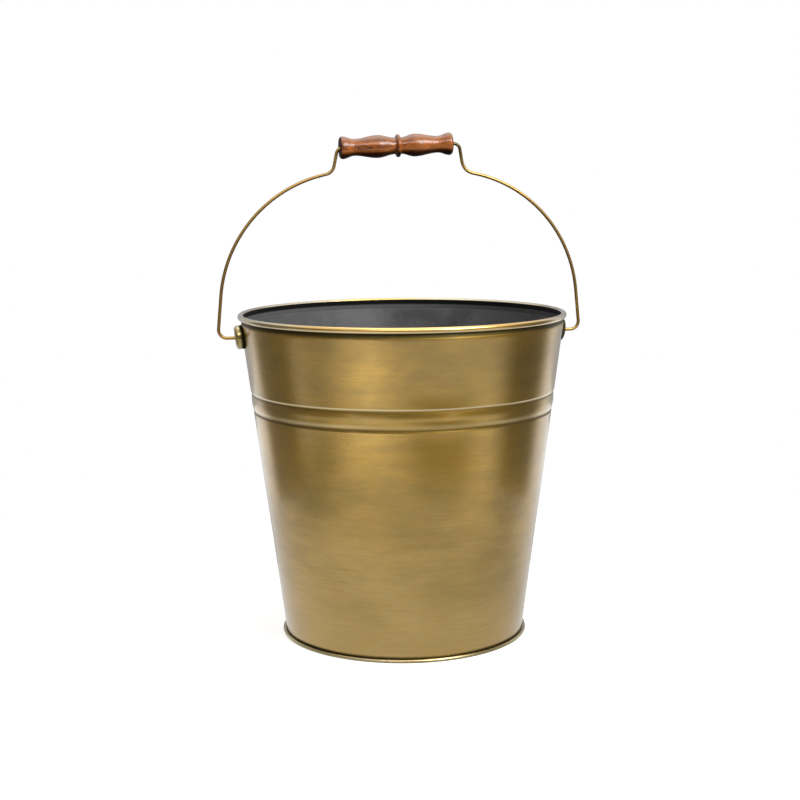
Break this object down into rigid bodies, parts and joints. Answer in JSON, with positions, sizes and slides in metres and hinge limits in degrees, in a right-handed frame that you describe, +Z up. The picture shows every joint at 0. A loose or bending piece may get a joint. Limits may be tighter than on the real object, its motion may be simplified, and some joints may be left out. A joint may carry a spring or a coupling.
{
  "type": "log bucket",
  "caption": "Tapered round metal bucket for logs or firewood, with a rolled rim, a swaged band, a hooked foot ring and a swinging wire bail with a turned wooden grip.",
  "frame": {"origin": "centre of the foot ring on the floor, below the middle of the bucket", "axes": "+Z up along the bucket's axis; -Y towards the front; X along the axis on which the bail swings, from the left ear to the right ear"},
  "size_m": [0.3378, 0.2994, 0.4588],
  "materials": {
    "antique_brass": "antique brass, finely brushed round the wall, with a cloudy olive-brown patina, lacquered",
    "foot_brass": "antique brass like the wall, brighter where the foot ring is rubbed",
    "ear_brass": "pressed antique brass, smooth and satin, darker at its edge",
    "core_wire": "plain galvanised wire, hidden in the rolled rim",
    "brass_wire": "drawn wire with an antique brass finish, smooth and fairly bright",
    "stained_wood": "turned hardwood, stained reddish brown and varnished"
  },
  "bodies": {
    "bucket": {"bucket_wall": "antique_brass", "rim_wire": "core_wire", "bucket_base": "foot_brass", "ear_left": "ear_brass", "ear_right": "ear_brass"},
    "bail": {"bail_wire": "brass_wire"},
    "grip": {"wooden_grip": "stained_wood"}
  },
  "joints": [
    {"name": "bail_swing", "type": "hinge", "parent": "bucket", "child": "bail", "pos_m": [0, 0, 0.277], "axis": [1, 0, 0], "range_deg": [-120, 120]},
    {"name": "grip_spin", "type": "hinge", "parent": "bail", "child": "grip", "pos_m": [-0.0043, 0, 0.4471], "axis": [0.9995, 0, 0.0323], "continuous": true}
  ]
}
